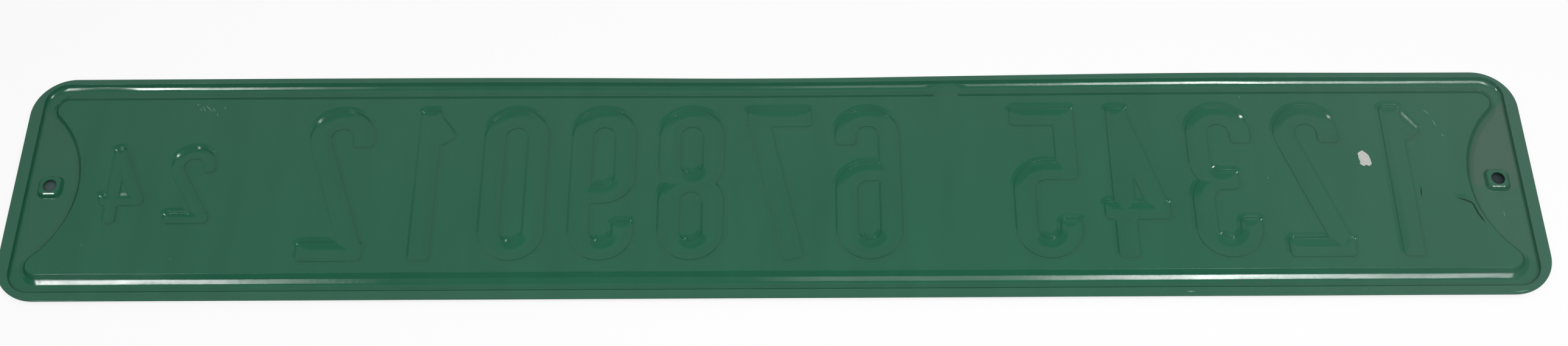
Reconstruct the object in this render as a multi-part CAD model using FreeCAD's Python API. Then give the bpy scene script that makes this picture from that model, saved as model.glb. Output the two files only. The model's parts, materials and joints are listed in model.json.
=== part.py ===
import FreeCAD, Part
import math
import os

# A street name blade, pressed from one sheet of steel and lying on its front.
# X runs along the blade, Y across it towards the top of its figures, Z up through its back.
# The origin is under the middle of the blade, level with its lowest pressed faces.

# Blank
blade_length = 914.4
blade_width = 152.4
blade_corner_radius = 25.4
sheet_thickness = 1.2

# Press work: the figures are pressed less deep than the border and the end fields
press_depth = 3.2
figure_depth = 2.4
press_centre_y = 1.0

# Border bead: flat rims outside it, then the wall at the rim, the floor and the wall at the panel
side_rim_width = 4.5
end_rim_width = 7.4
bead_corner_radius = 14.0
side_rim_wall_run = 4.6
end_rim_wall_run = 1.2
bead_floor_width = 0.5
panel_wall_run = 6.9

# Bends of the walls, as shares of a wall's run and of its depth: the wall at the rim is
# straight, the one round the panel is steeper at its top
rim_wall_bends = ((0, 0), (1, 1))
panel_wall_bends = ((0, 0), (0.6, 0.78), (1, 1))

# End fields: sunk D shapes that cut a round bay out of each end of the panel
field_radius = 68.0
field_reach = 39.6
field_wall_run = 6.0
panel_corner_inset = 17.0
panel_corner_wall_run = 5.0

# Mounting pads in the end fields, left at the level of the panel round each bolt hole
hole_diameter = 7.94
hole_inset = 21.4
pad_width = 13.4
pad_corner_radius = 3.0
pad_wall_run = 1.2

# Figures: overall sizes over the pressed walls
figure_wall_run = 5.3
large_figures = "12345 6789012"
large_height = 109.2
large_width = 45.0
large_floor_width = 8.0
large_pitch = 53.4
large_row_x = 57.7
small_figures = "24"
small_height = 57.9
small_width = 32.6
small_floor_width = 2.8
small_pitch = 40.6
small_row_x = -371.0

# Figures: shares of a figure's centre-line width or height
one_flag_reach = 0.3
one_flag_drop = 0.4
three_nib_length = 0.1
four_post_place = 0.78
four_shelf_height = 0.28
bowl_height = 0.58
seven_foot_place = 0.25

UP = FreeCAD.Vector(0, 0, 1)
panel_back_z = press_depth + sheet_thickness
hole_x = blade_length / 2 - hole_inset


def depth_to_z(share):
    """Height of the back surface at a share of the press depth."""
    return panel_back_z - share * press_depth


def line(x1, y1, x2, y2, z):
    start = FreeCAD.Vector(x1, y1, z)
    end = FreeCAD.Vector(x2, y2, z)
    return Part.LineSegment(start, end).toShape()


def arc(cx, cy, radius, start_degrees, end_degrees, z):
    points = []
    for degrees in (start_degrees, (start_degrees + end_degrees) / 2, end_degrees):
        angle = math.radians(degrees)
        points.append(FreeCAD.Vector(cx + radius * math.cos(angle), cy + radius * math.sin(angle), z))
    return Part.Arc(*points).toShape()


def rounded_loop(cx, cy, half_length, half_width, radius, z):
    """Rectangle with round corners, clockwise from its top side."""
    inner_x = half_length - radius
    inner_y = half_width - radius
    return Part.Wire([
        line(cx - inner_x, cy + half_width, cx + inner_x, cy + half_width, z),
        arc(cx + inner_x, cy + inner_y, radius, 90, 0, z),
        line(cx + half_length, cy + inner_y, cx + half_length, cy - inner_y, z),
        arc(cx + inner_x, cy - inner_y, radius, 0, -90, z),
        line(cx + inner_x, cy - half_width, cx - inner_x, cy - half_width, z),
        arc(cx - inner_x, cy - inner_y, radius, -90, -180, z),
        line(cx - half_length, cy - inner_y, cx - half_length, cy + inner_y, z),
        arc(cx - inner_x, cy + inner_y, radius, 180, 90, z),
    ])


def rounded_block(half_length, half_width, radius, bottom_z, top_z, cx=0, cy=0):
    """Upright block with round corners."""
    face = Part.Face(rounded_loop(cx, cy, half_length, half_width, radius, bottom_z))
    return face.extrude(UP * (top_z - bottom_z))


def panel_loop(half_width, bay_radius, corner_inset, z):
    """Outline of the panel inside the bead: straight sides, and at each end a round bay
    between two corners whose arcs are tangent to the side and to the bay."""
    bay_x = blade_length / 2 + field_radius - field_reach
    reach = bay_x - (blade_length / 2 - corner_inset)
    half_sum = half_width + bay_radius - reach
    radius = half_sum - math.sqrt(half_sum ** 2 - reach ** 2 - half_width ** 2 + bay_radius ** 2)
    corner_x = bay_x - reach - radius
    corner_y = half_width - radius
    turn = math.degrees(math.atan2(corner_y, bay_x - corner_x))
    mid = press_centre_y
    return Part.Wire([
        line(-corner_x, mid + half_width, corner_x, mid + half_width, z),
        arc(corner_x, mid + corner_y, radius, 90, -turn, z),
        arc(bay_x, mid, bay_radius, 180 - turn, 180 + turn, z),
        arc(corner_x, mid - corner_y, radius, turn, -90, z),
        line(corner_x, mid - half_width, -corner_x, mid - half_width, z),
        arc(-corner_x, mid - corner_y, radius, 270, 180 - turn, z),
        arc(-bay_x, mid, bay_radius, -turn, turn, z),
        arc(-corner_x, mid + corner_y, radius, 180 + turn, 90, z),
    ])


def border_form():
    """Space pressed out of the sheet by the bead and the two end fields."""
    half_length = blade_length / 2 - end_rim_width
    half_width = blade_width / 2 - side_rim_width
    panel_half_width = half_width - side_rim_wall_run - bead_floor_width - panel_wall_run
    mean_rim_run = (side_rim_wall_run + end_rim_wall_run) / 2
    outer = []
    for run, depth in rim_wall_bends:
        outer.append(rounded_loop(
            0,
            press_centre_y,
            half_length - run * end_rim_wall_run,
            half_width - run * side_rim_wall_run,
            bead_corner_radius - run * mean_rim_run,
            depth_to_z(depth),
        ))
    inner = []
    for run, depth in panel_wall_bends:
        inner.append(panel_loop(
            panel_half_width + run * panel_wall_run,
            field_radius - run * field_wall_run,
            panel_corner_inset - run * panel_corner_wall_run,
            depth_to_z(depth),
        ))
    form = Part.makeLoft(outer, True, True).cut(Part.makeLoft(inner, True, True))
    for side in (-1, 1):
        form = form.cut(pad_form(side * hole_x))
    return form


def pad_form(x):
    """Island of unpressed sheet under one mounting pad, wider at its foot."""
    rings = []
    for run in (0, 1):
        half = pad_width / 2 + run * pad_wall_run
        radius = pad_corner_radius + run * pad_wall_run
        rings.append(rounded_loop(x, press_centre_y, half, half, radius, depth_to_z(run)))
    return Part.makeLoft(rings, True, True)


def stroke_section(half_floor):
    """Half width and height of a figure's stroke at the panel and at its floor."""
    return [(half_floor + figure_wall_run, panel_back_z), (half_floor, panel_back_z - figure_depth)]


def bar_ring(u, v, du, dv, back, ahead, half, z):
    """Level outline of a bar that runs along (du, dv), from back to ahead of the point (u, v)."""
    corners = []
    for along, across in ((back, half), (ahead, half), (ahead, -half), (back, -half)):
        corners.append(FreeCAD.Vector(u + du * along - dv * across, v + dv * along + du * across, z))
    return Part.makePolygon(corners + corners[:1])


def bar(section, u1, v1, u2, v2, start_cap=True, end_cap=True):
    """Straight stroke along a centre line. A capped end stands half a stroke past its point
    and slopes as the sides do, an end without a cap is cut square for the next stroke."""
    length = math.hypot(u2 - u1, v2 - v1)
    du = (u2 - u1) / length
    dv = (v2 - v1) / length
    rings = []
    for half, z in section:
        back = -half if start_cap else 0
        ahead = length + half if end_cap else length
        rings.append(bar_ring(u1, v1, du, dv, back, ahead, half, z))
    return Part.makeLoft(rings, True, True)


def stub(section, u, v, du, dv):
    """Capped free end of a bow that stops at a point and heads along a direction."""
    rings = [bar_ring(u, v, du, dv, 0, half, half, z) for half, z in section]
    return Part.makeLoft(rings, True, True)


def bow(section, cu, cv, radius, start_degrees, end_degrees):
    """Stroke along an arc of its centre line."""
    points = [FreeCAD.Vector(radius - half, 0, z) for half, z in section]
    points += [FreeCAD.Vector(radius + half, 0, z) for half, z in reversed(section)]
    face = Part.Face(Part.makePolygon(points + points[:1]))
    face.rotate(FreeCAD.Vector(), UP, start_degrees)
    ring = face.revolve(FreeCAD.Vector(), UP, end_degrees - start_degrees)
    ring.translate(FreeCAD.Vector(cu, cv, 0))
    return ring


def figure_strokes(name, section, w, h):
    """Strokes of one figure on a centre-line box of width w and height h, read from the front.
    Rounds are half circles as wide as the box."""
    r = w / 2
    mid = h / 2
    top = h - r
    if name == "0":
        return [
            bow(section, r, top, r, 0, 180),
            bar(section, 0, top, 0, r, False, False),
            bow(section, r, r, r, 180, 360),
            bar(section, w, r, w, top, False, False),
        ]
    if name == "1":
        return [
            bar(section, r, 0, r, h),
            bar(section, r, h, r - one_flag_reach * w, h - one_flag_drop * w, False, True),
        ]
    if name == "2":
        # The slope leaves the lower left corner and touches the top round
        distance = math.hypot(r, top)
        heading = math.degrees(math.atan2(top, r)) - math.degrees(math.asin(r / distance))
        run = math.sqrt(distance ** 2 - r ** 2)
        touch_u = run * math.cos(math.radians(heading))
        touch_v = run * math.sin(math.radians(heading))
        return [
            stub(section, 0, top, 0, -1),
            bow(section, r, top, r, heading - 90, 180),
            bar(section, touch_u, touch_v, 0, 0, False, False),
            bar(section, 0, 0, w, 0),
        ]
    if name == "3":
        return [
            stub(section, 0, top, 0, -1),
            bow(section, r, top, r, 0, 180),
            bar(section, w, top, w, mid + r, False, False),
            bow(section, r, mid + r, r, 270, 360),
            bow(section, r, mid - r, r, 0, 90),
            bar(section, r, mid, r - three_nib_length * w, mid, False, True),
            bar(section, w, mid - r, w, r, False, False),
            bow(section, r, r, r, 180, 360),
            stub(section, 0, r, 0, 1),
        ]
    if name == "4":
        post = four_post_place * w
        shelf = four_shelf_height * h
        return [
            bar(section, post, 0, post, h),
            bar(section, post, h, 0, shelf, False, False),
            bar(section, 0, shelf, w, shelf),
        ]
    if name == "5":
        shelf = bowl_height * h
        return [
            bar(section, 0, h, w, h),
            bar(section, 0, h, 0, shelf),
            bar(section, 0, shelf, r, shelf, True, False),
            bow(section, r, shelf - r, r, 0, 90),
            bar(section, w, shelf - r, w, r, False, False),
            bow(section, r, r, r, 180, 360),
            stub(section, 0, r, 0, 1),
        ]
    if name == "6":
        shelf = bowl_height * h
        return [
            stub(section, w, top, 0, -1),
            bow(section, r, top, r, 0, 180),
            bar(section, 0, top, 0, r, False, False),
            bow(section, r, r, r, 180, 360),
            bar(section, w, r, w, shelf - r, False, False),
            bow(section, r, shelf - r, r, 0, 90),
            bar(section, r, shelf, 0, shelf, False, False),
        ]
    if name == "7":
        return [
            bar(section, 0, h, w, h),
            bar(section, w, h, seven_foot_place * w, 0, False, True),
        ]
    if name == "8":
        return [
            bow(section, r, top, r, 0, 180),
            bar(section, 0, top, 0, mid + r, False, False),
            bar(section, w, top, w, mid + r, False, False),
            bow(section, r, mid + r, r, 180, 270),
            bow(section, r, mid + r, r, 270, 360),
            bow(section, r, mid - r, r, 0, 90),
            bow(section, r, mid - r, r, 90, 180),
            bar(section, 0, mid - r, 0, r, False, False),
            bar(section, w, mid - r, w, r, False, False),
            bow(section, r, r, r, 180, 360),
        ]
    if name == "9":
        turned = []
        for stroke in figure_strokes("6", section, w, h):
            stroke.rotate(FreeCAD.Vector(r, mid, 0), UP, 180)
            turned.append(stroke)
        return turned
    raise ValueError("no strokes are drawn for " + name)


def figure_form(name, height, width, floor_width):
    """Space pressed out of the sheet by one figure, centred on the origin and mirrored,
    because the model is seen from the back of the blade."""
    half_floor = floor_width / 2
    section = stroke_section(half_floor)
    lip = 2 * (half_floor + figure_wall_run)
    w = width - lip
    h = height - lip
    strokes = figure_strokes(name, section, w, h)
    form = strokes[0].multiFuse(strokes[1:])
    form.translate(FreeCAD.Vector(-w / 2, -h / 2, 0))
    return form.mirror(FreeCAD.Vector(), FreeCAD.Vector(1, 0, 0))


def figure_row(figures, row_x, pitch, sizes):
    """One form for each figure of a row that reads from +X to -X. A space leaves a place bare.
    The sizes are a figure's height, width and floor width."""
    forms = {}
    row = []
    for place, name in enumerate(figures):
        if name == " ":
            continue
        if name not in forms:
            forms[name] = figure_form(name, *sizes)
        form = forms[name].copy()
        x = row_x + pitch * ((len(figures) - 1) / 2 - place)
        form.translate(FreeCAD.Vector(x, press_centre_y, 0))
        row.append(form)
    return row


def sign_blade():
    """The sheet: every form is added below the blank and cut from its back, which leaves
    one thickness of steel all over."""
    blank = rounded_block(blade_length / 2, blade_width / 2, blade_corner_radius, press_depth, panel_back_z)
    large_sizes = (large_height, large_width, large_floor_width)
    small_sizes = (small_height, small_width, small_floor_width)
    forms = [border_form()]
    forms += figure_row(large_figures, large_row_x, large_pitch, large_sizes)
    forms += figure_row(small_figures, small_row_x, small_pitch, small_sizes)
    fronts = []
    for form in forms:
        front = form.copy()
        front.translate(FreeCAD.Vector(0, 0, -sheet_thickness))
        fronts.append(front)
    holes = []
    for side in (-1, 1):
        foot = FreeCAD.Vector(side * hole_x, press_centre_y, 0)
        holes.append(Part.makeCylinder(hole_diameter / 2, panel_back_z, foot, UP))
    return blank.multiFuse(fronts).cut(forms + holes)


os.makedirs("parts", exist_ok=True)
blade = sign_blade()
blade.exportStep("parts/sign_blade.step")
print("solids", len(blade.Solids), "volume", round(blade.Volume, 1), "valid", blade.isValid())
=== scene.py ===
import json
import math

import bpy
import numpy as np
from mathutils import Euler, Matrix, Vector
from mathutils.geometry import delaunay_2d_cdt


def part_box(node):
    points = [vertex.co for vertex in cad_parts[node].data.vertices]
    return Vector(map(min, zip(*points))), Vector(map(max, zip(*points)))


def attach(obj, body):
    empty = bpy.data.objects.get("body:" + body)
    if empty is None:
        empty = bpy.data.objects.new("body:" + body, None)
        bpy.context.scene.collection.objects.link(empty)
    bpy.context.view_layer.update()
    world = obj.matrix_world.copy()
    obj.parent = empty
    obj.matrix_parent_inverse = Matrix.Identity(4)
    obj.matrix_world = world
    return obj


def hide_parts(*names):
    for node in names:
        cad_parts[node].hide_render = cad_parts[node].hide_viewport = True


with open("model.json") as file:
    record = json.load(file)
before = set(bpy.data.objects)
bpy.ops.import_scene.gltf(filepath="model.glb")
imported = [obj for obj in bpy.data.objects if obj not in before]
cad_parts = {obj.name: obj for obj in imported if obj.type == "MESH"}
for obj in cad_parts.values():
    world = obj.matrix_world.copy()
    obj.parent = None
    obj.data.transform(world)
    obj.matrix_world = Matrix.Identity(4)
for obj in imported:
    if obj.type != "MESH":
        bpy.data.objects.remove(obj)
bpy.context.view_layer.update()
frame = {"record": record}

# A pressed street name blade of green enamelled steel, lying on its front.
# Sizes are in millimetres, in the frame of the CAD part, and meshes are in metres.

MM = 0.001

# Blade, from the frame
blade_low, blade_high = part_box("sign_blade")
blade_length = (blade_high.x - blade_low.x) / MM
blade_width = (blade_high.y - blade_low.y) / MM
blade_height = (blade_high.z - blade_low.z) / MM
bolt_holes = next(m for m in frame["record"]["mounts"] if m["name"] == "bolt_holes")
hole_radius = bolt_holes["dims"]["hole_r_mm"]
hole_x = bolt_holes["dims"]["spacing_x_mm"] / 2
press_centre_y = bolt_holes["pos_m"][1] / MM

# Sheet and press work
blade_corner_radius = 25.4
sheet_thickness = 1.2
press_depth = blade_height - sheet_thickness
edge_round = 0.4

# Border bead
side_rim_width = 4.5
end_rim_width = 7.4
bead_corner_radius = 14.0
side_rim_wall_run = 4.6
end_rim_wall_run = 1.2
bead_floor_width = 0.5
panel_wall_run = 6.9

# End fields
field_radius = 68.0
field_reach = 39.6
field_wall_run = 6.0
panel_corner_inset = 17.0
panel_corner_wall_run = 5.0
bay_x = blade_length / 2 + field_radius - field_reach

# Mounting pads
pad_width = 10.4
pad_corner_radius = 2.2
pad_wall_run = 2.7

# Figures
figure_depth = 2.4
figure_wall_run = 5.3
figure_corner_round = 0.8
stub_length = 0.01
LARGE = {
    "figures": "12345 6789012", "x": 57.7, "pitch": 53.4,
    "height": 109.2, "width": 45.0, "floor": 8.0,
}
SMALL = {
    "figures": "24", "x": -371.0, "pitch": 40.6,
    "height": 57.9, "width": 32.6, "floor": 2.8,
}
one_flag_reach = 0.3
one_flag_drop = 0.4
three_nib_length = 0.1
four_post_place = 0.78
four_shelf_height = 0.28
bowl_height = 0.58
seven_foot_place = 0.25

# Mesh: shares of the walls' runs at which rings lie, steps along lines, tolerances, the kind of
# triangles asked for, and the closer points beside the bead's knocks
wall_rings = (-0.03, 0.03, 0.15, 0.28, 0.37, 0.45, 0.62, 0.8, 1)
figure_rings = (-0.03, 0.03, 0.4, 0.42, 0.64, 0.66, 1, 1.4, 1.7)
side_step = 9.0
bar_step = 5.0
arc_step_degrees = 5.0
flat_step = 9.0
joint_tolerance = 1e-3
weld_distance = 2e-3
whole_hull = 0
slope_step = 0.01
share_steps = 26
flat_margin = 2.0
flat_tolerance = 1e-9
dent_reach = 2
dent_steps = 8
speck_point_step = 12

# Slopes of the walls at shares of their runs, from the panel or rim down to the floor. The
# floors of the figures go on sinking a little, up to the middle of their strokes.
rim_wall_slopes = ((0, 0), (0.03, 2.0), (0.28, 2.1), (0.37, 0.62), (0.7, 0.56), (1, 0))
panel_wall_slopes = ((0, 0), (0.03, 1.65), (0.37, 1.65), (0.45, 0.72), (0.8, 0.67), (1, 0))
field_wall_slopes = ((0, 0), (0.03, 2.4), (0.28, 2.4), (0.37, 0.6), (0.8, 0.4), (1, 0))
pad_wall_slopes = ((0, 0), (0.03, 0.37), (0.28, 0.37), (0.37, 1.86), (0.8, 1.86), (1, 0))
figure_wall_slopes = (
    (0, 0), (0.03, 0.26), (0.4, 0.26), (0.42, 0.72), (0.64, 0.72), (0.66, 0.25),
    (1, 0.22), (1.4, 0.16), (1.75, 0),
)

# Where the walls take the end fields' slopes: start and end in x, limit and margin in y
field_blend = (405.0, 412.0, 58.0, 8.0)

# Finishes, in the order of the blade's materials
ENAMEL, RIM, END_FIELD, BARE_CHIP, SCRATCH_AND_GLINT, CRACK_AND_CREASE_SHADE, RUST, WHITE = range(8)

# Where finishes begin: shares of the press depth, and a share of the end fields' walls
painted_depth = 0.57
field_finish_depth = 0.8
field_foot_share = 0.37

# Unevenness. The far edge: place, shift and reach of each bow. The panel: height, length and
# phase of each wave. The bead: length and phase of each wave, and place, half size and strength
# of each knock.
far_edge_bows = ((0.0, -1.7, 120.0), (265.0, 0.8, 90.0))
panel_waves = ((0.06, 210.0, 0.4), (0.04, 97.0, 1.9))
bead_waves = ((137.0, 0.3), (71.0, 2.0), (43.0, 4.4))
bead_unevenness = 0.04
bead_dents = ((107.0, 65.0, 9.0, 5.5, 0.5), (-413.0, 69.0, 15.0, 7.0, 0.14))

# Wear, at the places where the photograph shows it
chip_outline = (
    (353.8, 18.1), (354.7, 19.2), (357.0, 20.6), (358.5, 19.2), (359.7, 18.0), (360.5, 16.9),
    (361.2, 13.9), (361.4, 11.0), (359.7, 9.6), (358.3, 10.5), (356.4, 9.7), (354.3, 11.3),
    (354.8, 12.8), (354.1, 15.2), (354.2, 17.5),
)
crease_path = (
    (408.6, -12.6), (412.5, -13.5), (416.3, -15.3), (417.6, -16.6), (418.5, -19.7), (419.6, -23.3),
    (421.1, -26.3), (422.8, -29.4),
)
crack_path = ((388.6, -4.0), (388.0, -8.1), (388.0, -12.5))
scratch_paths = (
    ((-351.8, 56.4), (-350.2, 54.4), (-348.8, 51.6)),
    ((-349.6, 55.0), (-348.8, 56.1), (-346.8, 54.2), (-344.3, 51.7)),
    ((-345.5, 55.0), (-344.2, 54.1), (-342.9, 51.9)),
    ((-355.1, 58.4), (-353.6, 56.4)),
    ((-352.9, 55.0), (-351.3, 52.5)),
    ((-341.7, 51.3), (-341.2, 49.1)),
    ((-338.3, 56.6), (-337.1, 54.7), (-337.7, 53.2)),
    ((436.0, -20.1), (436.1, -23.9)),
    ((397.8, 49.2), (399.8, 48.1), (402.0, 45.1)),
    ((402.8, 42.7), (403.9, 39.4), (404.9, 36.4)),
    ((406.7, 31.9), (408.3, 29.9)),
)
scratch_width = 0.45
speck_places = (
    (-355.3, -49.1), (287.3, 58.7), (297.7, 2.0), (-349.9, -18.3), (-339.7, 24.0), (-409.2, -39.4),
)
rust_places = (
    (266.7, -65.3), (273.7, -66.2), (280.8, -66.6), (288.0, -65.8), (298.3, -67.9), (291.5, -66.9),
)
# Pale painted glints along the near rim's edge
rim_glints = (
    ((241.0, -73.4), (246.0, -73.6)),
    ((430.6, -74.8), (435.6, -74.5), (440.2, -73.5)),
)
speck_radius = 0.3
rust_radius = 0.55
rim_glint_width = 0.8
crease_width = 0.45
crease_depth = 0.14
crease_rings = (-2, -1, 0, 1, 2)
crease_ring_shift = (0.8, 0.4)
# The dark line along the crease is painted shade in its hollow, and a dark line also runs along the
# crack
crease_shade_width = 1.0
crack_line_width = 0.9

# Enamels: name, strength of the film of dust and painted sheen, and strength of the brownish
# painted reflection. Worn finishes: name, colour, roughness, and the share of the colour that
# is left where their mottle is darkest. Two of them also draw painted light: painted glints
# along the near rim, and painted shade along the crease.
enamels = (("green_enamel", 0.0, 0.0), ("rim_enamel", 0.09, 0.0), ("end_enamel", 0.09, 0.16))
worn_finishes = (
    ("bare_chip", (0.55, 0.56, 0.53), 0.55, 0.82),
    # Also the pale painted glints along the near rim
    ("scratched_enamel", (0.16, 0.30, 0.24), 0.5, 0.7),
    # Nearly black: the crack's line, and the painted shade along the crease
    ("cracked_enamel", (0.008, 0.03, 0.02), 0.6, 0.8),
    ("rust_speck", (0.07, 0.07, 0.035), 0.7, 0.6),
    ("white_paint", (0.72, 0.72, 0.70), 0.35, 0.95),
)

# Enamel: colours, the strengths of its film of dust and painted sheen, and where along X or Y,
# in metres, that film and the brownish painted reflection begin and are full
enamel_green = (0.0185, 0.118, 0.067)
enamel_green_dark = (0.0165, 0.108, 0.062)
enamel_roughness = 0.12
smudge_roughness = (0.10, 0.17)
peel_strength = 0.06
peel_height = 0.0004
# Greyer film, partly dust and partly painted sheen: painted reflection of pale surroundings on the
# flats, growing towards the right end and the far side
dust_and_sheen_film = (0.12, 0.17, 0.15)
end_dust_and_sheen = 0.16
end_dust_and_sheen_range = (0.2, 0.44)
far_dust_and_sheen = 0.05
far_dust_and_sheen_range = (-0.03, 0.07)
# Brownish painted reflection on the far part of the right end field
brown_reflection_film = (0.15, 0.12, 0.105)
brown_reflection_end_range = (0.3, 0.35)
brown_reflection_edge_range = (-0.006, -0.001)
brown_reflection_raggedness = 0.004

# Noises: scale, detail and stretch, and the range that most of their values lie in
streak_noise = (9.0, 3.0, (6, 1, 1))
brown_reflection_edge_noise = (60.0, 3.0)
smudge_noise = (24.0, 4.0)
peel_noise = (420.0, 2.0)
grain_noise = (700.0, 3.0)
noise_range = (0.3, 0.7)

# Floor, in metres, and dark sheets of painted shade on it under the two halves of the blade,
# which show through the bolt holes: name, left and right end as shares of the blade's half
# length, and colour. The right sheet is darker, for deeper painted shade there.
floor_reach = 6.0
floor_drop = 0.0002
floor_color = (0.9, 0.9, 0.9)
floor_roughness = 0.9
floor_glow = 0.8
painted_shade_floor_inset = 0.012
painted_shade_floors = (("left", -1, 0, (0.075, 0.11, 0.11)), ("right", 0, 1, (0.034, 0.05, 0.053)))

# World: its lean to the left, the edge between its dark and its pale part, and their strengths
world_lean = -0.3
world_edge = (0.2, 0.3)
world_dark = 0.03
world_pale = 0.38

# Lamps above and behind the camera, in metres. Those that are only mirrored stand in rows: place
# in Y and Z and width of each row, and the range along X and the radiance of each lamp. The bead
# and the pads' borders mirror the first row, and the pads' walls and the left end of the bead
# mirror the second. Those that only light share their place in Y and Z and their size: place in X
# and radiance of each lamp.
mirrored_rows = (
    (-0.297, 1.48, 0.1, (
        (-1.035, -0.972, 50), (-0.964, -0.86, 38), (-0.86, -0.76, 19), (-0.76, -0.63, 5),
        (0.0, 0.36, 2.5), (0.36, 0.41, 8), (0.41, 0.54, 17), (0.54, 0.68, 38),
        (0.68, 0.926, 16), (0.987, 0.997, 110),
    )),
    (-0.98, 1.13, 0.14, ((-1.04, -0.972, 44), (0.985, 1.02, 20))),
)
overhead_lamps = ((-1.6, 0.6), (-0.8, 1.1), (0.0, 4.3), (0.8, 3.3), (1.6, 1.2))
overhead_place = (-0.49, 1.4)
overhead_size = (0.8, 1.2)

# Camera, in millimetres and degrees
camera_place = (11.7, -548.7, 997.3)
camera_angles = (29.228, 0.360, -0.139)
camera_lens = 43.32
camera_sensor = 36.0


# Strokes of the figures


def divided(line):
    """Open line with points added along its long runs."""
    points = []
    for start, end in zip(line[:-1], line[1:]):
        steps = max(1, round(np.hypot(*(end - start)) / bar_step))
        for step in range(steps):
            points.append(start + (end - start) * step / steps)
    return np.array(points + [line[-1]])


def lines_between(outline, breaks):
    """Open lines along a closed outline, without the edges that set off from the breaks."""
    if not breaks:
        return [divided(np.concatenate((outline, outline[:1])))]
    lines = []
    for before, last in zip(breaks, breaks[1:] + [breaks[0] + len(outline)]):
        lines.append(divided(outline[np.arange(before + 1, last + 1) % len(outline)]))
    return lines


class Bar:
    """Straight stroke along a centre line. A cap stands half a stroke past its point."""

    def __init__(self, half_floor, start, end, start_cap=True, end_cap=True):
        self.half = half_floor
        self.start = np.array(start, float)
        self.end = np.array(end, float)
        self.caps = (start_cap, end_cap)
        self.length = float(np.hypot(*(self.end - self.start)))
        self.along = (self.end - self.start) / self.length
        self.across = np.array((-self.along[1], self.along[0]))

    def offset(self, points):
        """How far points lie outside the stroke's floor."""
        local = points - self.start
        ahead = local @ self.along
        beyond = np.full(len(points), -np.inf)
        outside = np.zeros(len(points), bool)
        for cap, past in zip(self.caps, (-ahead, ahead - self.length)):
            if cap:
                beyond = np.maximum(beyond, past - self.half)
            else:
                outside |= past > joint_tolerance
        end_gap = beyond + figure_corner_round
        side_gap = np.abs(local @ self.across) - self.half + figure_corner_round
        corner = np.hypot(np.maximum(end_gap, 0), np.maximum(side_gap, 0))
        distance = corner + np.minimum(np.maximum(end_gap, side_gap), 0) - figure_corner_round
        return np.where(outside, np.inf, distance)

    def lines(self, offset):
        """Outline of the stroke at an offset from its floor, open at ends without a cap."""
        half = self.half + offset
        radius = max(0, figure_corner_round + offset)
        turns = np.arange(0, 91, 2 * arc_step_degrees) if radius > 0 else (0,)
        outline = []
        breaks = []
        ends = ((self.length, 1, self.caps[1], 0), (0, -1, self.caps[0], 180))
        for place, way, cap, turn in ends:
            if not cap:
                breaks.append(len(outline))
                outline += [(place, -way * half), (place, way * half)]
                continue
            centre = place + way * (half - radius)
            for corner_side, first in ((-way, -90), (way, 0)):
                for degrees in turns:
                    angle = math.radians(turn + first + degrees)
                    across = corner_side * (half - radius) + radius * math.sin(angle)
                    outline.append((centre + radius * math.cos(angle), across))
        outline = np.array(outline)
        outline = self.start + outline[:, :1] * self.along + outline[:, 1:] * self.across
        return lines_between(outline, breaks)

    def turned(self, width, height):
        """The stroke after half a turn of its figure."""
        box = np.array((width, height))
        return Bar(self.half, box - self.start, box - self.end, *self.caps)


class Bow:
    """Stroke along an arc of its centre line, with no caps."""

    def __init__(self, half_floor, centre, radius, start_degrees, end_degrees):
        self.half = half_floor
        self.centre = np.array(centre, float)
        self.radius = radius
        self.start_degrees = start_degrees
        self.end_degrees = end_degrees

    def offset(self, points):
        """How far points lie outside the stroke's floor."""
        local = points - self.centre
        middle = math.radians((self.start_degrees + self.end_degrees) / 2)
        half_sweep = math.radians((self.end_degrees - self.start_degrees) / 2)
        turned = np.arctan2(local[:, 1], local[:, 0]) - middle
        turned = np.abs((turned + math.pi) % (2 * math.pi) - math.pi)
        distance = np.abs(np.hypot(local[:, 0], local[:, 1]) - self.radius) - self.half
        return np.where(turned > half_sweep + joint_tolerance, np.inf, distance)

    def lines(self, offset):
        """The stroke's two side lines at an offset from its floor."""
        steps = math.ceil((self.end_degrees - self.start_degrees) / arc_step_degrees)
        angles = np.radians(np.linspace(self.start_degrees, self.end_degrees, steps + 1))
        rays = np.stack((np.cos(angles), np.sin(angles)), 1)
        reach = self.half + offset
        return [self.centre + r * rays for r in (self.radius + reach, self.radius - reach)]

    def turned(self, width, height):
        """The stroke after half a turn of its figure."""
        centre = np.array((width, height)) - self.centre
        return Bow(self.half, centre, self.radius, self.start_degrees + 180, self.end_degrees + 180)


def stub(half, u, v, heading):
    """Capped free end of a bow that stops at a point, heading up or down."""
    return Bar(half, (u, v - heading * stub_length), (u, v), start_cap=False)


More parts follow.
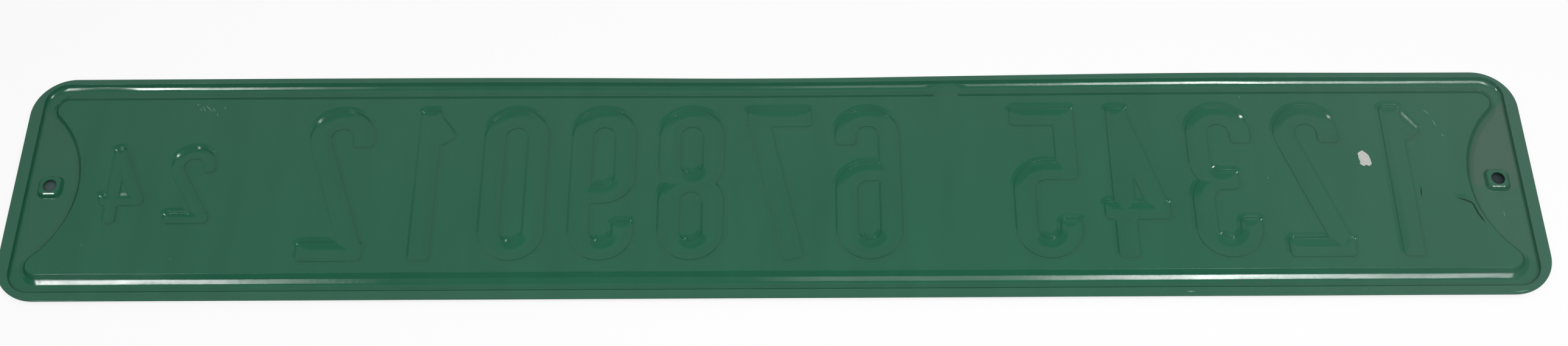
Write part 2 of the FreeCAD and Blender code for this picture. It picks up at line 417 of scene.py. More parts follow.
def figure_strokes(name, half, w, h):
    """Strokes of one figure on a centre-line box of width w and height h, read from the front."""
    r = w / 2
    mid = h / 2
    top = h - r
    shelf = bowl_height * h
    if name == "0":
        return [
            Bow(half, (r, top), r, 0, 180),
            Bar(half, (0, top), (0, r), False, False),
            Bow(half, (r, r), r, 180, 360),
            Bar(half, (w, r), (w, top), False, False),
        ]
    if name == "1":
        flag_tip = (r - one_flag_reach * w, h - one_flag_drop * w)
        return [
            Bar(half, (r, 0), (r, h)),
            Bar(half, (r, h), flag_tip, False, True),
        ]
    if name == "2":
        distance = math.hypot(r, top)
        heading = math.atan2(top, r) - math.asin(r / distance)
        run = math.sqrt(distance ** 2 - r ** 2)
        touch = (run * math.cos(heading), run * math.sin(heading))
        return [
            stub(half, 0, top, -1),
            Bow(half, (r, top), r, math.degrees(heading) - 90, 180),
            Bar(half, touch, (0, 0), False, False),
            Bar(half, (0, 0), (w, 0)),
        ]
    if name == "3":
        return [
            stub(half, 0, top, -1),
            Bow(half, (r, top), r, 0, 180),
            Bar(half, (w, top), (w, mid + r), False, False),
            Bow(half, (r, mid + r), r, 270, 360),
            Bow(half, (r, mid - r), r, 0, 90),
            Bar(half, (r, mid), (r - three_nib_length * w, mid), False, True),
            Bar(half, (w, mid - r), (w, r), False, False),
            Bow(half, (r, r), r, 180, 360),
            stub(half, 0, r, 1),
        ]
    if name == "4":
        post = four_post_place * w
        low = four_shelf_height * h
        return [
            Bar(half, (post, 0), (post, h)),
            Bar(half, (post, h), (0, low), False, False),
            Bar(half, (0, low), (w, low)),
        ]
    if name == "5":
        return [
            Bar(half, (0, h), (w, h)),
            Bar(half, (0, h), (0, shelf)),
            Bar(half, (0, shelf), (r, shelf), True, False),
            Bow(half, (r, shelf - r), r, 0, 90),
            Bar(half, (w, shelf - r), (w, r), False, False),
            Bow(half, (r, r), r, 180, 360),
            stub(half, 0, r, 1),
        ]
    if name == "6":
        return [
            stub(half, w, top, -1),
            Bow(half, (r, top), r, 0, 180),
            Bar(half, (0, top), (0, r), False, False),
            Bow(half, (r, r), r, 180, 360),
            Bar(half, (w, r), (w, shelf - r), False, False),
            Bow(half, (r, shelf - r), r, 0, 90),
            Bar(half, (r, shelf), (0, shelf), False, False),
        ]
    if name == "7":
        return [
            Bar(half, (0, h), (w, h)),
            Bar(half, (w, h), (seven_foot_place * w, 0), False, True),
        ]
    if name == "8":
        return [
            Bow(half, (r, top), r, 0, 180),
            Bar(half, (0, top), (0, mid + r), False, False),
            Bar(half, (w, top), (w, mid + r), False, False),
            Bow(half, (r, mid + r), r, 180, 360),
            Bow(half, (r, mid - r), r, 0, 180),
            Bar(half, (0, mid - r), (0, r), False, False),
            Bar(half, (w, mid - r), (w, r), False, False),
            Bow(half, (r, r), r, 180, 360),
        ]
    # A 9 is a 6 after half a turn
    return [stroke.turned(w, h) for stroke in figure_strokes("6", half, w, h)]


class Figure:
    """One pressed figure, mirrored, because the blade is seen from its back."""

    def __init__(self, name, x, height, width, floor):
        lip = floor + 2 * figure_wall_run
        self.reach = width / 2 + figure_wall_run
        self.x = x
        self.box = np.array((width - lip, height - lip))
        self.strokes = figure_strokes(name, floor / 2, *self.box)

    def share(self, x, y):
        """Share of the wall's run: 0 at the panel, 1 at the figure's floor, and more within it."""
        centre = np.array((self.x, press_centre_y))
        points = (np.stack((x, y), 1) - centre) * (-1, 1) + self.box / 2
        offset = np.min([stroke.offset(points) for stroke in self.strokes], 0)
        return 1 - offset / figure_wall_run

    def lines(self):
        """Lines of every stroke at every ring of its wall."""
        centre = np.array((self.x, press_centre_y))
        for stroke in self.strokes:
            for share in figure_rings:
                offset = (1 - share) * figure_wall_run
                if stroke.half + offset > 0:
                    for line in stroke.lines(offset):
                        yield (line - self.box / 2) * (-1, 1) + centre


def figure_row(row):
    """Figures of a row that reads from +X to -X. A space leaves a place bare."""
    made = []
    for place, name in enumerate(row["figures"]):
        if name == " ":
            continue
        x = row["x"] + row["pitch"] * ((len(row["figures"]) - 1) / 2 - place)
        made.append(Figure(name, x, row["height"], row["width"], row["floor"]))
    return made


figures = figure_row(LARGE) + figure_row(SMALL)


# Walls of the border, the end fields and the pads


def rounded_box_distance(x, y, half_length, half_width, radius):
    """Distance outside a rectangle with round corners, below 0 within it."""
    gap_x = np.abs(x) - (half_length - radius)
    gap_y = np.abs(y) - (half_width - radius)
    corner = np.hypot(np.maximum(gap_x, 0), np.maximum(gap_y, 0))
    return corner + np.minimum(np.maximum(gap_x, gap_y), 0) - radius


def rim_sizes(share):
    """Half length, half width and corner radius of the bead's outer wall at a share of its run."""
    mean_run = (side_rim_wall_run + end_rim_wall_run) / 2
    return (
        blade_length / 2 - end_rim_width - share * end_rim_wall_run,
        blade_width / 2 - side_rim_width - share * side_rim_wall_run,
        bead_corner_radius - share * mean_run,
    )


def panel_sizes(share):
    """Sizes of the panel's outline at a share of the wall round it: half width, radius of the
    bays, and centre, radius and turn of the corner arcs, tangent to the side and to the bay."""
    rim_half_width = blade_width / 2 - side_rim_width
    panel_half_width = rim_half_width - side_rim_wall_run - bead_floor_width - panel_wall_run
    half_width = panel_half_width + share * panel_wall_run
    bay_radius = field_radius - share * field_wall_run
    inset = panel_corner_inset - share * panel_corner_wall_run
    reach = bay_x - (blade_length / 2 - inset)
    half_sum = half_width + bay_radius - reach
    radius = half_sum - np.sqrt(half_sum ** 2 - reach ** 2 - half_width ** 2 + bay_radius ** 2)
    corner_x = bay_x - reach - radius
    corner_y = half_width - radius
    turn = np.arctan2(corner_y, bay_x - corner_x)
    return half_width, bay_radius, corner_x, corner_y, radius, turn


def panel_distance(x, y, share):
    """Distance outside the panel's outline at a share of the wall round it."""
    half_width, bay_radius, corner_x, corner_y, radius, turn = panel_sizes(share)
    beyond_x = np.abs(x) - corner_x
    beyond_y = np.abs(y) - corner_y
    angle = np.arctan2(beyond_y, beyond_x)
    at_corner = (angle > -turn) & (angle < math.pi / 2)
    side = np.abs(y) - half_width
    bay = bay_radius - np.hypot(np.abs(x) - bay_x, y)
    return np.where(at_corner, np.hypot(beyond_x, beyond_y) - radius, np.maximum(side, bay))


def solve_share(still_short, count):
    """Share of a wall's run at each point, by halving. still_short says which points lie
    beyond the ring at the shares given."""
    low = np.zeros(count)
    high = np.ones(count)
    for _ in range(share_steps):
        middle = (low + high) / 2
        short = still_short(middle)
        low = np.where(short, middle, low)
        high = np.where(short, high, middle)
    return (low + high) / 2


def wall_depth(slopes, share):
    """Depth share across a wall, from its slope at some shares of its run."""
    places, steepness = np.array(slopes).T
    rise = (steepness[1:] + steepness[:-1]) / 2 * np.diff(places)
    reached = np.concatenate(((0,), np.cumsum(rise)))
    share = np.clip(share, 0, places[-1])
    run = np.clip(np.searchsorted(places, share, "right") - 1, 0, len(rise) - 1)
    past = share - places[run]
    bend = (steepness[run + 1] - steepness[run]) / (places[run + 1] - places[run])
    return (reached[run] + steepness[run] * past + bend * past ** 2 / 2) / reached[-1]


def depth_share(x, y):
    """Depth of the press work at each point, from 0 on the panel and rims to 1 on the floors."""
    from_centre = y - press_centre_y
    rim = solve_share(lambda s: rounded_box_distance(x, from_centre, *rim_sizes(s)) < 0, len(x))
    panel = solve_share(lambda s: panel_distance(x, from_centre, s) > 0, len(x))
    start, end, limit, margin = field_blend
    at_field = np.clip((np.abs(x) - start) / (end - start), 0, 1)
    at_field *= np.clip((limit - np.abs(from_centre)) / margin, 0, 1)
    panel_depth = (1 - at_field) * wall_depth(panel_wall_slopes, panel)
    panel_depth += at_field * wall_depth(field_wall_slopes, panel)
    depth = np.minimum(wall_depth(rim_wall_slopes, rim), panel_depth)
    half = pad_width / 2
    for side in (-1, 1):
        pad = rounded_box_distance(x - side * hole_x, from_centre, half, half, pad_corner_radius)
        depth = np.minimum(depth, wall_depth(pad_wall_slopes, pad / pad_wall_run))
    for figure in figures:
        near = np.abs(x - figure.x) < figure.reach
        sunk = wall_depth(figure_wall_slopes, figure.share(x[near], y[near]))
        depth[near] = np.maximum(depth[near], figure_depth / press_depth * sunk)
    return depth


def path_distance(x, y, path):
    """Distance to a path of straight runs."""
    points = np.stack((x, y), 1)
    nearest = np.full(len(x), np.inf)
    for start, end in zip(np.array(path[:-1]), np.array(path[1:])):
        run = end - start
        place = np.clip((points - start) @ run / (run @ run), 0, 1)
        gap = points - start - place[:, None] * run
        nearest = np.minimum(nearest, np.hypot(gap[:, 0], gap[:, 1]))
    return nearest


def bead_ease(x, y):
    """Share of the bead's depth that its knocks and its slight unevenness take away."""
    wave = sum(np.sin(x * 2 * math.pi / length + phase + (y > 0)) for length, phase in bead_waves)
    ease = bead_unevenness * (0.5 + wave / (2 * len(bead_waves)))
    for dent_x, dent_y, half_length, half_width, share in bead_dents:
        along = (x - dent_x) / half_length
        across = (y - dent_y) / half_width
        ease = ease + share * np.exp(-np.abs(along) ** 3 - across ** 4)
    return ease


def back_height(x, y):
    """Height of the blade's back, without the rounding of its sheared edge."""
    depth = depth_share(x, y) * (1 - bead_ease(x, y))
    height = blade_height - press_depth * depth
    for amplitude, wavelength, phase in panel_waves:
        wave = 1 + np.sin(x * 2 * math.pi / wavelength + y * math.pi / wavelength + phase)
        height -= amplitude * wave / 2 * (1 - depth)
    for path in (crease_path, crack_path):
        height -= crease_depth * np.exp(-((path_distance(x, y, path) / crease_width) ** 2))
    return height


def edge_drop(x, y):
    """How far the rounded edges of the outline and the bolt holes stand back from each face."""
    outline = rounded_box_distance(x, y, blade_length / 2, blade_width / 2, blade_corner_radius)
    inside = -outline
    for side in (-1, 1):
        inside = np.minimum(inside, np.hypot(x - side * hole_x, y - press_centre_y) - hole_radius)
    return edge_round * np.maximum(0, 1 - inside / edge_round) ** 2


def surface(x, y):
    """Heights of the blade's back and front. The front stays at or above 0, where it lies."""
    back = back_height(x, y)
    drop = edge_drop(x, y)
    front = np.maximum(back - sheet_thickness, 0)
    return back - drop, front + drop


def surface_normals(x, y):
    """Upward directions square to the back and the front."""
    ahead = surface(x + slope_step, y)
    behind = surface(x - slope_step, y)
    above = surface(x, y + slope_step)
    below = surface(x, y - slope_step)
    normals = []
    for face in (0, 1):
        slope_x = (ahead[face] - behind[face]) / (2 * slope_step)
        slope_y = (above[face] - below[face]) / (2 * slope_step)
        direction = np.stack((-slope_x, -slope_y, np.ones(len(x))), 1)
        normals.append(direction / np.linalg.norm(direction, axis=1)[:, None])
    return normals


# Flat pattern of the mesh: rings along every wall, and points between them


def arc_points(cx, cy, radius, start_degrees, end_degrees):
    """Points along an arc, with both its ends."""
    steps = math.ceil(abs(end_degrees - start_degrees) / arc_step_degrees)
    angles = np.radians(np.linspace(start_degrees, end_degrees, steps + 1))
    return np.stack((cx + radius * np.cos(angles), cy + radius * np.sin(angles)), 1)


def side_points(start, end):
    """Points along a straight side, without its ends, closer together beside the knock."""
    start = np.array(start, float)
    end = np.array(end, float)
    length = np.hypot(*(end - start))
    shares = list(np.arange(1, round(length / side_step)) / round(length / side_step))
    if start[1] == end[1] and start[1] > 0 and length > blade_length / 2:
        for dent_x, _, half_length, _, _ in bead_dents:
            reach = dent_reach * half_length
            for x in np.arange(dent_x - reach, dent_x + reach, half_length / dent_steps):
                shares.append((x - start[0]) / (end[0] - start[0]))
    shares = np.sort(np.array([share for share in shares if 0 < share < 1]))
    return start + shares[:, None] * (end - start)


def rounded_loop(cx, cy, half_length, half_width, radius):
    """Rectangle with round corners, clockwise from the left end of its top side."""
    inner_x = half_length - radius
    inner_y = half_width - radius
    left, right = cx - inner_x, cx + inner_x
    low, high = cy - inner_y, cy + inner_y
    return np.concatenate((
        side_points((left, cy + half_width), (right, cy + half_width)),
        arc_points(right, high, radius, 90, 0),
        side_points((cx + half_length, high), (cx + half_length, low)),
        arc_points(right, low, radius, 0, -90),
        side_points((right, cy - half_width), (left, cy - half_width)),
        arc_points(left, low, radius, -90, -180),
        side_points((cx - half_length, low), (cx - half_length, high)),
        arc_points(left, high, radius, 180, 90),
    ))


def panel_loop(share):
    """The panel's outline at a share of the wall round it, clockwise from its far side."""
    half_width, bay_radius, corner_x, corner_y, radius, turn = panel_sizes(share)
    turn = math.degrees(turn)
    mid = press_centre_y
    top = mid + half_width
    bottom = mid - half_width
    return np.concatenate((
        side_points((-corner_x, top), (corner_x, top)),
        arc_points(corner_x, mid + corner_y, radius, 90, -turn),
        arc_points(bay_x, mid, bay_radius, 180 - turn, 180 + turn)[1:-1],
        arc_points(corner_x, mid - corner_y, radius, turn, -90),
        side_points((corner_x, bottom), (-corner_x, bottom)),
        arc_points(-corner_x, mid - corner_y, radius, 270, 180 - turn),
        arc_points(-bay_x, mid, bay_radius, -turn, turn)[1:-1],
        arc_points(-corner_x, mid + corner_y, radius, 180 + turn, 90),
    ))


class Pattern:
    """Points, edges and marked outlines of the flat pattern."""

    def __init__(self):
        self.points = []
        self.edges = []
        self.marks = []
        self.mark_finishes = []

    def add_path(self, path, closed=False):
        """Points of a path and the edges between them. Gives the points' numbers."""
        first = len(self.points)
        self.points += [Vector(p) for p in path]
        last = len(self.points) - 1
        self.edges += [(i, i + 1) for i in range(first, last)]
        if closed:
            self.edges.append((last, first))
        return list(range(first, last + 1))

    def add_mark(self, outline, finish):
        """Closed outline, run anticlockwise, whose faces get a finish of their own."""
        outline = np.array(outline)
        following = np.roll(outline, -1, 0)
        doubled_area = np.sum(outline[:, 0] * following[:, 1] - outline[:, 1] * following[:, 0])
        if doubled_area < 0:
            outline = outline[::-1]
        self.marks.append(self.add_path(outline, closed=True))
        self.mark_finishes.append(finish)


def ribbon(path, width):
    """Outline of a thin line along a path, pointed at both ends."""
    path = np.array(path)
    sides = []
    for i in range(1, len(path) - 1):
        run = path[i + 1] - path[i - 1]
        run /= np.hypot(*run)
        sides.append(np.array((-run[1], run[0])) * width / 2)
    if not sides:
        middle = (path[0] + path[1]) / 2
        path = np.array((path[0], middle, path[1]))
        run = (path[2] - path[0]) / np.hypot(*(path[2] - path[0]))
        sides.append(np.array((-run[1], run[0])) * width / 2)
    left = path[1:-1] + sides
    right = path[1:-1] - sides
    return np.concatenate((path[:1], left, path[-1:], right[::-1]))


def add_rings(pattern):
    """Lines along the blade's edges, every wall, and the creases."""
    for inset in (0, edge_round / 2, edge_round):
        radius = blade_corner_radius - inset
        outline = rounded_loop(0, 0, blade_length / 2 - inset, blade_width / 2 - inset, radius)
        pattern.add_path(outline, closed=True)
        for side in (-1, 1):
            hole = arc_points(side * hole_x, press_centre_y, hole_radius + inset, 0, 360)[:-1]
            pattern.add_path(hole, closed=True)
    for share in wall_rings:
        pattern.add_path(rounded_loop(0, press_centre_y, *rim_sizes(share)), closed=True)
        pattern.add_path(panel_loop(share), closed=True)
        half = pad_width / 2 + share * pad_wall_run
        radius = pad_corner_radius + share * pad_wall_run
        for side in (-1, 1):
            pad = rounded_loop(side * hole_x, press_centre_y, half, half, radius)
            pattern.add_path(pad, closed=True)
    for figure in figures:
        for line in figure.lines():
            pattern.add_path(line)
    for path in (crease_path, crack_path):
        for ring in crease_rings:
            pattern.add_path(np.array(path) + ring * crease_width * np.array(crease_ring_shift))


def add_wear(pattern):
    """Outlines of the chip, the lines and the specks. The pale lines along the near rim are painted
    glints, and the dark line along the crease is painted shade.
    """
    pattern.add_mark(chip_outline, BARE_CHIP)
    for paths, width, finish in (
        (scratch_paths, scratch_width, SCRATCH_AND_GLINT),
        # Pale painted glints along the near rim
        (rim_glints, rim_glint_width, SCRATCH_AND_GLINT),
        # Dark lines: painted shade along the crease, and the crack
        ((crease_path,), crease_shade_width, CRACK_AND_CREASE_SHADE),
        ((crack_path,), crack_line_width, CRACK_AND_CREASE_SHADE),
    ):
        for path in paths:
            pattern.add_mark(ribbon(path, width), finish)
    for places, radius, finish in (
        (speck_places, speck_radius, SCRATCH_AND_GLINT),
        (rust_places, rust_radius, RUST),
    ):
        for x, y in places:
            speck = arc_points(x, y, radius, 0, 360)[:-1:speck_point_step]
            pattern.add_mark(speck, finish)


def add_flat_points(pattern):
    """A sparse grid between the walls, so that the panel's slight waves have points to follow."""
    half_length, half_width = blade_length / 2, blade_width / 2
    xs = np.arange(-half_length + flat_step, half_length, flat_step)
    ys = np.arange(-half_width + flat_step / 2, half_width, flat_step)
    grid_x, grid_y = (g.ravel() for g in np.meshgrid(xs, ys))
    depth = depth_share(grid_x, grid_y)
    outside = rounded_box_distance(grid_x, grid_y, half_length, half_width, blade_corner_radius)
    flat = (depth < flat_tolerance) | (depth > 1 - flat_tolerance)
    flat &= outside < -flat_margin
    pattern.points += [Vector(p) for p in zip(grid_x[flat], grid_y[flat])]


def blade_pattern():
    """The blade's flat pattern as triangles, with the finish of each triangle's mark or 0."""
    pattern = Pattern()
    add_rings(pattern)
    add_wear(pattern)
    add_flat_points(pattern)
    points, _, faces, _, _, owners = delaunay_2d_cdt(
        pattern.points, pattern.edges, pattern.marks, whole_hull, weld_distance
    )
    places = np.array([tuple(p) for p in points])
    triangles = np.array(faces)
    marks = np.array([pattern.mark_finishes[own[0]] if own else 0 for own in owners])
    corner = [places[triangles[:, i]] for i in range(3)]
    turn = np.cross(corner[1] - corner[0], corner[2] - corner[0])
    triangles[turn < 0] = triangles[turn < 0][:, ::-1]
    middle = sum(corner) / 3
    solid = np.ones(len(triangles), bool)
    for side in (-1, 1):
        from_hole = np.hypot(middle[:, 0] - side * hole_x, middle[:, 1] - press_centre_y)
        solid &= from_hole > hole_radius
    kept, renumbered = np.unique(triangles[solid], return_inverse=True)
    return places[kept], renumbered.reshape(-1, 3), marks[solid]


def bend_far_edge(x, y):
    """Slight wave of the far edge in the blade's own plane."""
    near_edge = np.clip((y - blade_width / 4) / (blade_width / 4), 0, 1)
    shift = 0
    for place, amount, reach in far_edge_bows:
        shift = shift + amount * np.exp(-(((x - place) / reach) ** 2))
    return y + shift * near_edge ** 2


# Materials


def new_material(name, color, roughness):
    """Material of one colour, with its nodes, its links and its shader."""
    material = bpy.data.materials.new(name)
    material.use_nodes = True
    nodes = material.node_tree.nodes
    shader = nodes["Principled BSDF"]
    shader.inputs["Base Color"].default_value = (*color, 1)
    shader.inputs["Roughness"].default_value = roughness
    return material, nodes, material.node_tree.links, shader


def noise(nodes, links, coordinates, scale, detail, stretch=(1, 1, 1)):
    """Noise over the object's own coordinates in metres, stretched along its axes."""
    mapping = nodes.new("ShaderNodeMapping")
    mapping.inputs["Scale"].default_value = stretch
    links.new(coordinates, mapping.inputs["Vector"])
    texture = nodes.new("ShaderNodeTexNoise")
    texture.inputs["Scale"].default_value = scale
    texture.inputs["Detail"].default_value = detail
    links.new(mapping.outputs["Vector"], texture.inputs["Vector"])
    return texture.outputs["Fac"]


def map_range(nodes, links, value, source, target, interpolation="LINEAR"):
    """Maps one range of a value onto another."""
    node = nodes.new("ShaderNodeMapRange")
    node.interpolation_type = interpolation
    node.inputs["From Min"].default_value, node.inputs["From Max"].default_value = source
    node.inputs["To Min"].default_value, node.inputs["To Max"].default_value = target
    links.new(value, node.inputs["Value"])
    return node.outputs["Result"]


def spread(nodes, links, value, low, high):
    """Maps a noise value onto a range."""
    return map_range(nodes, links, value, noise_range, (low, high))


def smooth_rise(nodes, links, value, source, most):
    """Smooth rise from 0 to the most across a range of a value."""
    return map_range(nodes, links, value, source, (0, most), "SMOOTHSTEP")


def reckon(nodes, links, operation, first, second):
    """Sum or product of a value and another value or number."""
    node = nodes.new("ShaderNodeMath")
    node.operation = operation
    links.new(first, node.inputs[0])
    if isinstance(second, float):
        node.inputs[1].default_value = second
    else:
        links.new(second, node.inputs[1])
    return node.outputs["Value"]


def blend_color(nodes, links, share, first, second):
    """Mix of two colours, each a value or a colour of its own, by a share."""
    node = nodes.new("ShaderNodeMix")
    node.data_type = "RGBA"
    for name, color in (("A", first), ("B", second)):
        if isinstance(color, tuple):
            node.inputs[name].default_value = (*color, 1)
        else:
            links.new(color, node.inputs[name])
    links.new(share, node.inputs["Factor"])
    return node.outputs["Result"]


def enamel_material(name, dust_and_sheen, brown_reflection):
    """Glossy green enamel: broad streaks of tone, orange peel, a thin greyer film, partly dust and
    partly painted sheen, that grows towards the right end and the far side, and a brownish painted
    reflection in the far part of the right end."""
    material, nodes, links, shader = new_material(name, enamel_green, enamel_roughness)
    coordinates = nodes.new("ShaderNodeTexCoord").outputs["Object"]
    split = nodes.new("ShaderNodeSeparateXYZ")
    links.new(coordinates, split.inputs["Vector"])
    x, y = split.outputs["X"], split.outputs["Y"]
    streaks = spread(nodes, links, noise(nodes, links, coordinates, *streak_noise), 0, 1)
    color = blend_color(nodes, links, streaks, enamel_green, enamel_green_dark)
    # Film of dust and painted sheen
    to_right = smooth_rise(nodes, links, x, end_dust_and_sheen_range, end_dust_and_sheen)
    to_far = smooth_rise(nodes, links, y, far_dust_and_sheen_range, far_dust_and_sheen)
    dust_and_sheen_share = reckon(nodes, links, "ADD", reckon(nodes, links, "ADD", to_right, to_far), dust_and_sheen)
    color = blend_color(nodes, links, dust_and_sheen_share, color, dust_and_sheen_film)
    # Brownish painted reflection with a ragged near edge, only at the right end
    edge = noise(nodes, links, coordinates, *brown_reflection_edge_noise)
    edge = spread(nodes, links, edge, -brown_reflection_raggedness, brown_reflection_raggedness)
    ragged = reckon(nodes, links, "ADD", y, edge)
    brown_reflection_share = smooth_rise(nodes, links, ragged, brown_reflection_edge_range, brown_reflection)
    at_right = smooth_rise(nodes, links, x, brown_reflection_end_range, 1.0)
    brown_reflection_share = reckon(nodes, links, "MULTIPLY", brown_reflection_share, at_right)
    color = blend_color(nodes, links, brown_reflection_share, color, brown_reflection_film)
    links.new(color, shader.inputs["Base Color"])
    smudges = noise(nodes, links, coordinates, *smudge_noise)
    links.new(spread(nodes, links, smudges, *smudge_roughness), shader.inputs["Roughness"])
    peel = noise(nodes, links, coordinates, *peel_noise)
    bump = nodes.new("ShaderNodeBump")
    bump.inputs["Strength"].default_value = peel_strength
    bump.inputs["Distance"].default_value = peel_height
    links.new(peel, bump.inputs["Height"])
    links.new(bump.outputs["Normal"], shader.inputs["Normal"])
    return material


def worn_material(name, color, roughness, mottle):
    """Dull patch with a fine mottle: worn spots and paint, and also the painted glints along the
    near rim and the painted shade along the crease.
    """
    material, nodes, links, shader = new_material(name, color, roughness)
    coordinates = nodes.new("ShaderNodeTexCoord").outputs["Object"]
    grain = spread(nodes, links, noise(nodes, links, coordinates, *grain_noise), 0, 1)
    darker = tuple(c * mottle for c in color)
    links.new(blend_color(nodes, links, grain, color, darker), shader.inputs["Base Color"])
    return material


# The blade


def edge_strip(places, triangles):
    """Faces between back and front along the sheared edges, and the outward direction there."""
    edges = np.concatenate((triangles[:, (0, 1)], triangles[:, (1, 2)], triangles[:, (2, 0)]))
    edges = edges.tolist()
    known = {tuple(e) for e in edges}
    rim = np.array([e for e in edges if (e[1], e[0]) not in known])
    count = len(places)
    strip = np.stack((rim[:, 1], rim[:, 0], rim[:, 0] + count, rim[:, 1] + count), 1)
    run = places[rim[:, 1]] - places[rim[:, 0]]
    run /= np.hypot(run[:, 0], run[:, 1])[:, None]
    square = np.stack((run[:, 1], -run[:, 0], np.zeros(len(run))), 1)
    outward = np.zeros((count, 3))
    for end in (0, 1):
        np.add.at(outward, rim[:, end], square)
    length = np.linalg.norm(outward, axis=1)
    outward[length > 0] /= length[length > 0][:, None]
    return strip, outward


def triangle_finishes(places, triangles, marks):
    """Finish of each triangle, on the back and on the front."""
    x, y = places[triangles].mean(1).T
    from_centre = y - press_centre_y
    depth = depth_share(x, y)
    on_rim = rounded_box_distance(x, from_centre, *rim_sizes(0)) > 0
    field_foot = field_radius - field_foot_share * field_wall_run
    in_end = np.hypot(np.abs(x) - bay_x, from_centre) < field_foot
    in_end &= depth > field_finish_depth
    back = np.where(on_rim, RIM, np.where(in_end, END_FIELD, ENAMEL))
    back = np.where(marks > 0, marks, back)
    front = np.where(depth > painted_depth, WHITE, ENAMEL)
    return back, front


def make_blade():
    """The pressed sheet as one closed mesh: back, front and the strip round its edges."""
    places, triangles, marks = blade_pattern()
    x, y = places.T
    back, front = surface(x, y)
    bent_y = bend_far_edge(x, y)
    count = len(places)
    vertices = np.concatenate((np.stack((x, bent_y, back), 1), np.stack((x, bent_y, front), 1)))
    strip, outward = edge_strip(places, triangles)
    faces = triangles.tolist() + (triangles[:, ::-1] + count).tolist() + strip.tolist()
    mesh = bpy.data.meshes.new("blade_sheet")
    mesh.from_pydata((vertices * MM).tolist(), [], faces)
    back_normals, front_normals = surface_normals(x, y)
    normals = np.concatenate((
        back_normals[triangles].reshape(-1, 3),
        -front_normals[triangles[:, ::-1]].reshape(-1, 3),
        outward[strip % count].reshape(-1, 3),
    ))
    mesh.polygons.foreach_set("use_smooth", np.ones(len(faces), bool))
    mesh.normals_split_custom_set(normals.tolist())
    for values in enamels:
        mesh.materials.append(enamel_material(*values))
    for values in worn_finishes:
        mesh.materials.append(worn_material(*values))
    edge_finish = np.full(len(strip), ENAMEL)
    index = np.concatenate((*triangle_finishes(places, triangles, marks), edge_finish))
    mesh.polygons.foreach_set("material_index", index)
    mesh.update()
    sheet = bpy.data.objects.new("blade_sheet", mesh)
    bpy.context.scene.collection.objects.link(sheet)
    return sheet


blade = make_blade()
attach(blade, "root")
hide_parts("sign_blade")


# Stage: floor, light and camera


def floor_sheet(name, left, right, half_y, z, material):
    """Flat rectangle of the stage, in metres."""
    mesh = bpy.data.meshes.new(name)
    corners = [(left, -half_y, z), (right, -half_y, z), (right, half_y, z), (left, half_y, z)]
    mesh.from_pydata(corners, [], [(0, 1, 2, 3)])
    mesh.materials.append(material)
    sheet = bpy.data.objects.new(name, mesh)
    bpy.context.scene.collection.objects.link(sheet)


def floor_material(name, color):
    """Dull material that mirrors nothing."""
    material, nodes, links, shader = new_material(name, color, floor_roughness)
    shader.inputs["Specular IOR Level"].default_value = 0.0
    return material, nodes, links, shader


def make_floor():
    """Pale floor that the camera sees nearly white, and under each half of the blade a dark sheet
    of painted shade, which shows through the bolt holes."""
    half_length = blade_length / 2 * MM - painted_shade_floor_inset
    half_width = blade_width / 2 * MM - painted_shade_floor_inset
    # Dark sheets of painted shade, seen only through the bolt holes
    for side, left, right, color in painted_shade_floors:
        name = f"painted_shade_floor_{side}"
        material = floor_material(name, color)[0]
        floor_sheet(name, left * half_length, right * half_length, half_width, 0, material)
    material, nodes, links, shader = floor_material("pale_floor", floor_color)
    glow = nodes.new("ShaderNodeEmission")
    glow.inputs["Color"].default_value = (1, 1, 1, 1)
    blend = nodes.new("ShaderNodeMixShader")
    path = nodes.new("ShaderNodeLightPath")
    share = reckon(nodes, links, "MULTIPLY", path.outputs["Is Camera Ray"], floor_glow)
    links.new(share, blend.inputs["Fac"])
    links.new(shader.outputs["BSDF"], blend.inputs[1])
    links.new(glow.outputs["Emission"], blend.inputs[2])
    links.new(blend.outputs["Shader"], nodes["Material Output"].inputs["Surface"])
    floor_sheet("floor", -floor_reach, floor_reach, floor_reach, -floor_drop, material)


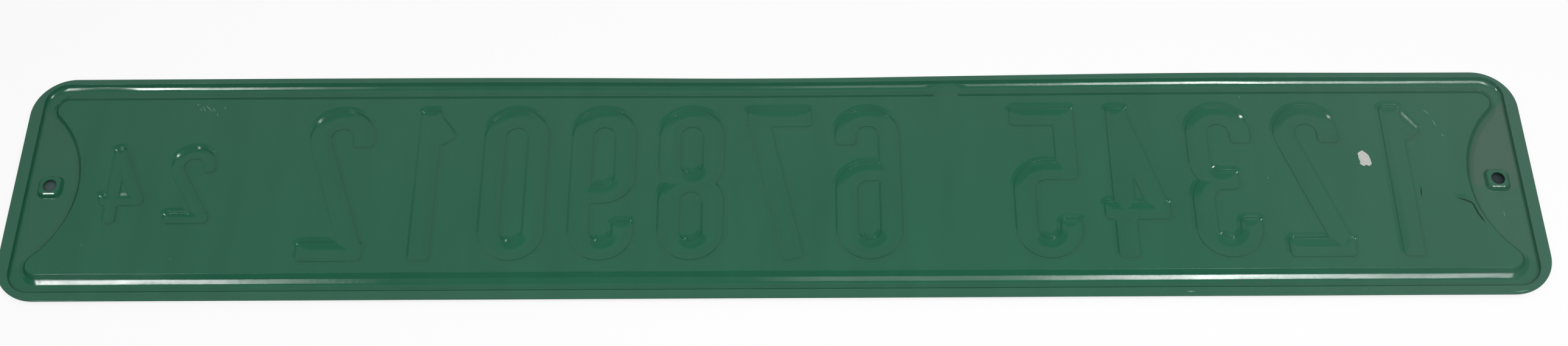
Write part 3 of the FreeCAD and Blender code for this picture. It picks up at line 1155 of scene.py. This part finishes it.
def make_world():
    """Dim studio, pale towards the far side and the left, and dark elsewhere."""
    world = bpy.data.worlds.new("studio")
    bpy.context.scene.world = world
    world.use_nodes = True
    nodes = world.node_tree.nodes
    links = world.node_tree.links
    split = nodes.new("ShaderNodeSeparateXYZ")
    links.new(nodes.new("ShaderNodeTexCoord").outputs["Generated"], split.inputs["Vector"])
    leant = reckon(nodes, links, "MULTIPLY", split.outputs["X"], world_lean)
    leant = reckon(nodes, links, "ADD", leant, split.outputs["Y"])
    strengths = (world_dark, world_pale)
    strength = map_range(nodes, links, leant, world_edge, strengths, "SMOOTHSTEP")
    background = nodes["Background"]
    background.inputs["Color"].default_value = (1, 1, 1, 1)
    links.new(strength, background.inputs["Strength"])


def make_lamp(name, place, size, radiance, mirrored):
    """Rectangular lamp of a set radiance, facing the blade's long middle line. It is either only
    mirrored, or only lights."""
    light = bpy.data.lights.new(name, "AREA")
    light.shape = "RECTANGLE"
    light.size, light.size_y = size
    light.energy = radiance * math.pi * size[0] * size[1]
    lamp = bpy.data.objects.new(name, light)
    lamp.location = place
    lamp.rotation_mode = "QUATERNION"
    facing = Vector((place[0], 0, 0)) - Vector(place)
    lamp.rotation_quaternion = facing.to_track_quat("-Z", "Y")
    lamp.visible_camera = False
    lamp.visible_glossy = mirrored
    lamp.visible_diffuse = not mirrored
    bpy.context.scene.collection.objects.link(lamp)


def make_lamps():
    """Rows of lamps that are only mirrored, and one row that only lights."""
    for row, (back, height, width, lamps) in enumerate(mirrored_rows):
        for number, (left, right, radiance) in enumerate(lamps):
            place = ((left + right) / 2, back, height)
            name = f"mirrored_{row}_{number}"
            make_lamp(name, place, (right - left, width), radiance, True)
    for number, (x, radiance) in enumerate(overhead_lamps):
        make_lamp(f"overhead_{number}", (x, *overhead_place), overhead_size, radiance, False)


def make_camera():
    """Camera of the photograph."""
    camera_data = bpy.data.cameras.new("camera")
    camera_data.lens = camera_lens
    camera_data.sensor_width = camera_sensor
    camera = bpy.data.objects.new("camera", camera_data)
    camera.location = [v * MM for v in camera_place]
    camera.rotation_euler = Euler([math.radians(a) for a in camera_angles], "XYZ")
    bpy.context.scene.collection.objects.link(camera)
    bpy.context.scene.camera = camera


make_lamps()
make_floor()
make_world()
make_camera()
bpy.context.scene.view_settings.view_transform = "Standard"
